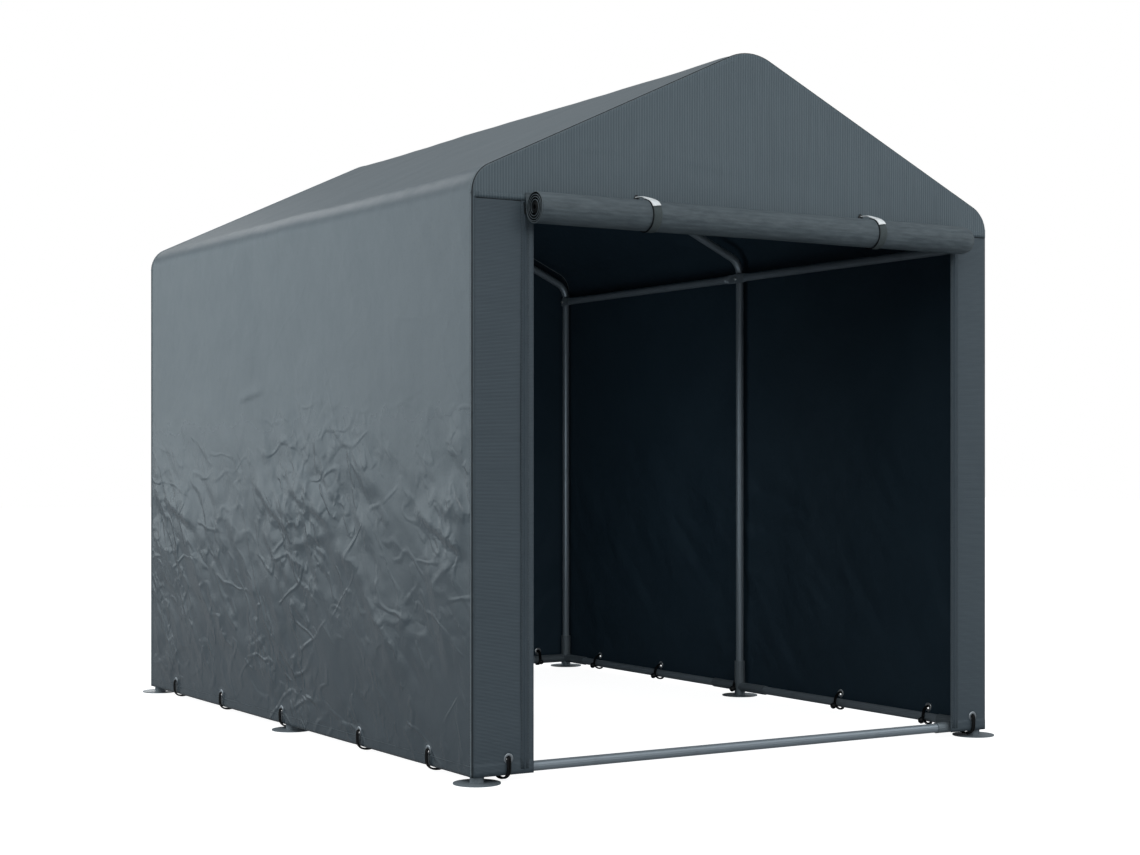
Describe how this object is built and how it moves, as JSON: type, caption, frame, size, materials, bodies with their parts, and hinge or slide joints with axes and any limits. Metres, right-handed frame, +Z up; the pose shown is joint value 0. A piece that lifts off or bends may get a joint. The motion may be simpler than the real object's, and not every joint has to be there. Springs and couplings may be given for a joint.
{
  "type": "storage tent",
  "caption": "Gable-roofed storage tent: sheet cover on a tube frame with round foot plates, purlins and a roll-up front door.",
  "frame": {"origin": "on the ground, under the middle of the tent's overall width and depth, the rolled door included", "axes": "+Z up; -Y out of the doorway; +X to the right of someone looking in through the door; the ridge runs along Y"},
  "size_m": [1.893, 2.632, 2.0259],
  "materials": {
    "frame_tube": "satin",
    "foot_steel": "satin",
    "cover_sheet": "satin",
    "end_sheet": "matte",
    "door_sheet": "matte",
    "strap_webbing": "matte",
    "white_plastic": "satin",
    "black_plastic": "matte",
    "zip_metal": "satin"
  },
  "bodies": {
    "root": {"front_bottom_rail": "frame_tube", "front_gable_panel": "end_sheet", "front_left_bottom_rail": "frame_tube", "front_left_eave_purlin": "frame_tube", "front_left_elbow": "frame_tube", "front_left_foot": "foot_steel", "front_left_leg": "frame_tube", "front_left_rafter": "frame_tube", "front_ridge_connector": "frame_tube", "front_ridge_purlin": "frame_tube", "front_right_bottom_rail": "frame_tube", "front_right_eave_purlin": "frame_tube", "front_right_elbow": "frame_tube", "front_right_foot": "foot_steel", "front_right_leg": "frame_tube", "front_right_rafter": "frame_tube", "left_jamb": "end_sheet", "left_roll_strap": "strap_webbing", "left_side_wall": "cover_sheet", "left_strap_loop": "black_plastic", "left_strap_toggle": "white_plastic", "middle_left_elbow": "frame_tube", "middle_left_foot": "foot_steel", "middle_left_leg": "frame_tube", "middle_left_rafter": "frame_tube", "middle_ridge_connector": "frame_tube", "middle_right_elbow": "frame_tube", "middle_right_foot": "foot_steel", "middle_right_leg": "frame_tube", "middle_right_rafter": "frame_tube", "rear_bottom_rail": "frame_tube", "rear_left_bottom_rail": "frame_tube", "rear_left_eave_purlin": "frame_tube", "rear_left_elbow": "frame_tube", "rear_left_foot": "foot_steel", "rear_left_leg": "frame_tube", "rear_left_rafter": "frame_tube", "rear_panel": "end_sheet", "rear_ridge_connector": "frame_tube", "rear_ridge_purlin": "frame_tube", "rear_right_bottom_rail": "frame_tube", "rear_right_eave_purlin": "frame_tube", "rear_right_elbow": "frame_tube", "rear_right_foot": "foot_steel", "rear_right_leg": "frame_tube", "rear_right_rafter": "frame_tube", "right_jamb": "end_sheet", "right_roll_strap": "strap_webbing", "right_side_wall": "cover_sheet", "right_strap_loop": "black_plastic", "right_strap_toggle": "white_plastic", "roof_left_slope": "cover_sheet", "roof_right_slope": "cover_sheet"},
    "door_lead": {"door_curtain": "door_sheet"},
    "door_roll": {"door_roll": "door_sheet"},
    "zip_left": {"left_zip_slider": "zip_metal"},
    "zip_right": {"right_zip_slider": "zip_metal"}
  },
  "joints": [
    {"name": "door_drop", "type": "slide", "parent": "root", "child": "door_lead", "axis": [0, 0, -1], "range_m": [0, 1.46], "deforming": ["door_curtain", "left_roll_strap", "right_roll_strap"]},
    {"name": "door_unroll", "type": "hinge", "parent": "door_lead", "child": "door_roll", "pos_m": [0.014, -1.2699, 1.527], "axis": [1, 0, 0], "range_deg": [0, 1800]},
    {"name": "left_zip", "type": "slide", "parent": "root", "child": "zip_left", "axis": [0, 0, -1], "range_m": [0, 1.45]},
    {"name": "right_zip", "type": "slide", "parent": "root", "child": "zip_right", "axis": [0, 0, -1], "range_m": [0, 1.45]}
  ],
  "couplings": [
    {"joint": "door_unroll", "follows": "door_drop", "rad_per_m": 21.51}
  ]
}
